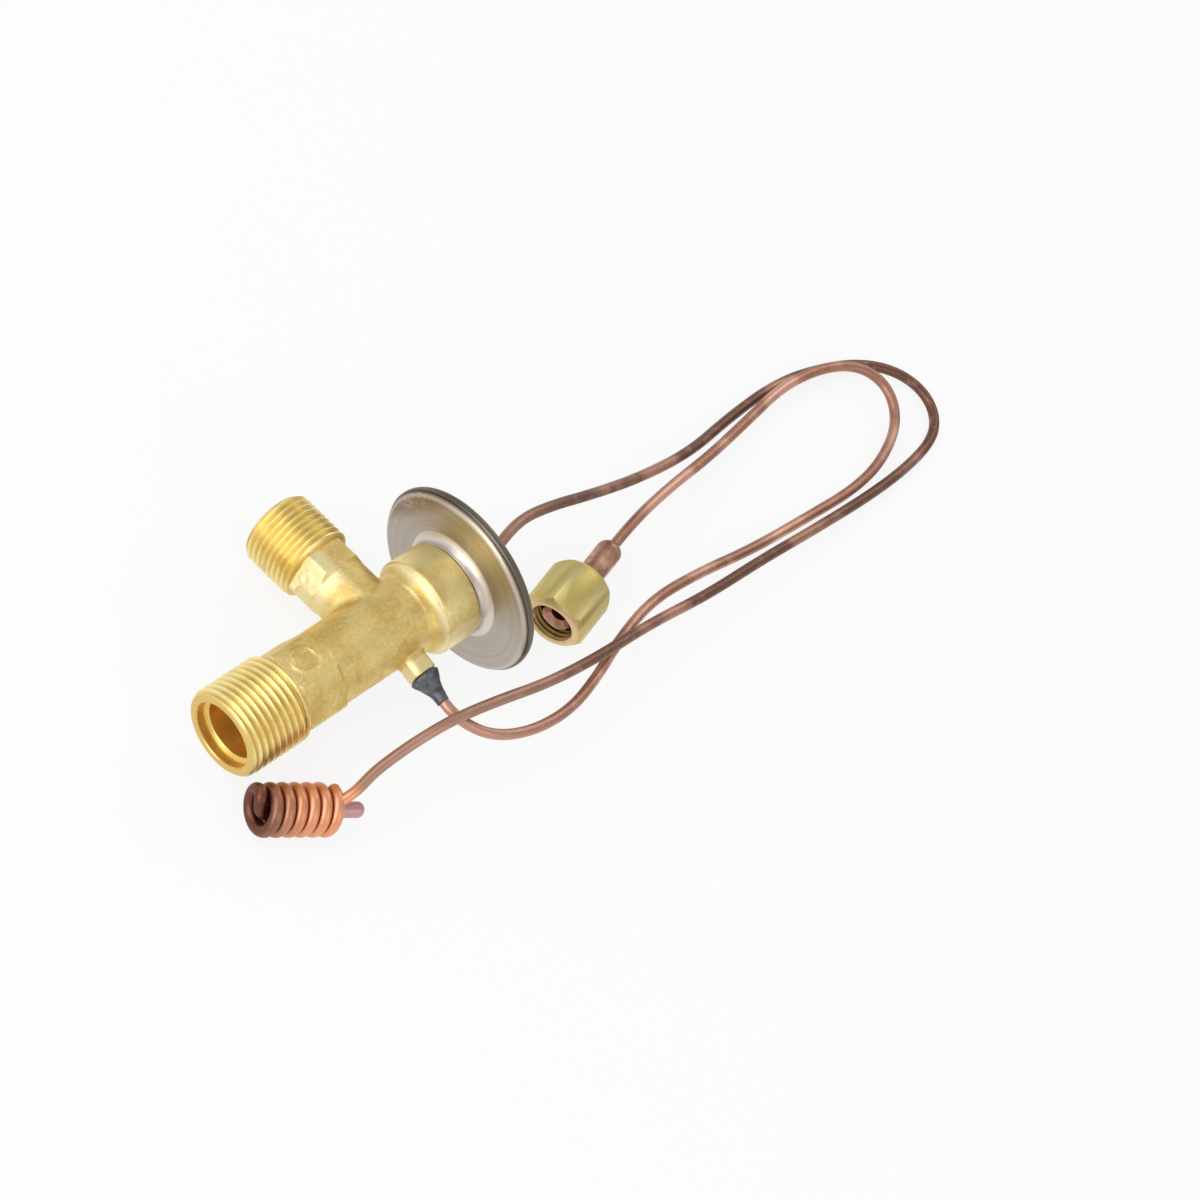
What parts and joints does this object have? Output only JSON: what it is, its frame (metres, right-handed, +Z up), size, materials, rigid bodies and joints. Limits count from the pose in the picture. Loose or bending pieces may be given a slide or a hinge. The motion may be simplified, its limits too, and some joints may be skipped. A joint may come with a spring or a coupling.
{
  "type": "refrigerant expansion valve",
  "caption": "Angle-pattern refrigerant expansion valve with diaphragm head, capillary sensing coil and equaliser line with flare nut.",
  "frame": {"origin": "centre of the base of the valve's own bounding box, without the capillary lines, coil, flare nut and tube end; the floor it lies on is z = 0", "axes": "+Z up; +X from the outlet mouth towards the diaphragm head, level with the floor (the valve axis itself rises 9.8 degrees); +Y towards the inlet branch"},
  "size_m": [0.2537, 0.0769, 0.0464],
  "materials": {
    "forged_brass": "forged and turned, lightly tarnished",
    "nut_brass": "turned brass, slightly green",
    "stainless": "satin pressed sheet",
    "spring_steel": "thin rolled sheet and wire",
    "machined_steel": "turned",
    "polished_steel": "polished ball",
    "turned_brass": "turned",
    "mesh_steel": "fine woven mesh",
    "seal_rubber": "moulded",
    "gasket_fibre": "pressed sheet",
    "solder": "dull oxidised solder",
    "copper": "drawn copper, brown with handling"
  },
  "bodies": {
    "housing": {"valve_body": "forged_brass", "lower_shell": "stainless", "upper_shell": "stainless", "diaphragm": "spring_steel", "head_gasket": "gasket_fibre", "rod_seal": "seal_rubber", "seal_retainer": "turned_brass", "seat_insert": "machined_steel", "inlet_strainer": "mesh_steel", "strainer_ring": "turned_brass", "solder_collar": "solder", "flare_stub": "copper", "bulb_coil": "copper", "coil_tip": "copper", "charge_line": "copper", "equaliser_line": "copper"},
    "valve_train": {"diaphragm_pad": "machined_steel", "push_rod": "machined_steel", "valve_ball": "polished_steel", "ball_cup": "machined_steel"},
    "spring_seat": {"superheat_spring": "spring_steel"},
    "adjuster": {"adjusting_nut": "turned_brass"},
    "equaliser_nut": {"flare_nut": "nut_brass"}
  },
  "joints": [
    {"name": "valve_lift", "type": "slide", "parent": "housing", "child": "valve_train", "axis": [-0.9854, 0, -0.1704], "range_m": [0, 0.0008], "stiffness_N_per_m": 2500, "deforming": ["superheat_spring", "diaphragm"]},
    {"name": "adjuster_advance", "type": "slide", "parent": "housing", "child": "spring_seat", "axis": [0.9854, 0, 0.1704], "range_m": [-0.001, 0.002], "deforming": ["superheat_spring"]},
    {"name": "adjuster_turn", "type": "hinge", "parent": "spring_seat", "child": "adjuster", "pos_m": [-0.02298, -0.0072, 0.01342], "axis": [0.9854, 0, 0.1704], "range_deg": [-360, 720]},
    {"name": "equaliser_nut_turn", "type": "hinge", "parent": "housing", "child": "equaliser_nut", "pos_m": [0.07349, -0.02178, 0.00847], "axis": [0.9611, 0.2557, 0.1045], "continuous": true}
  ],
  "couplings": [
    {"joint": "adjuster_turn", "follows": "adjuster_advance", "rad_per_m": 6283.2}
  ]
}
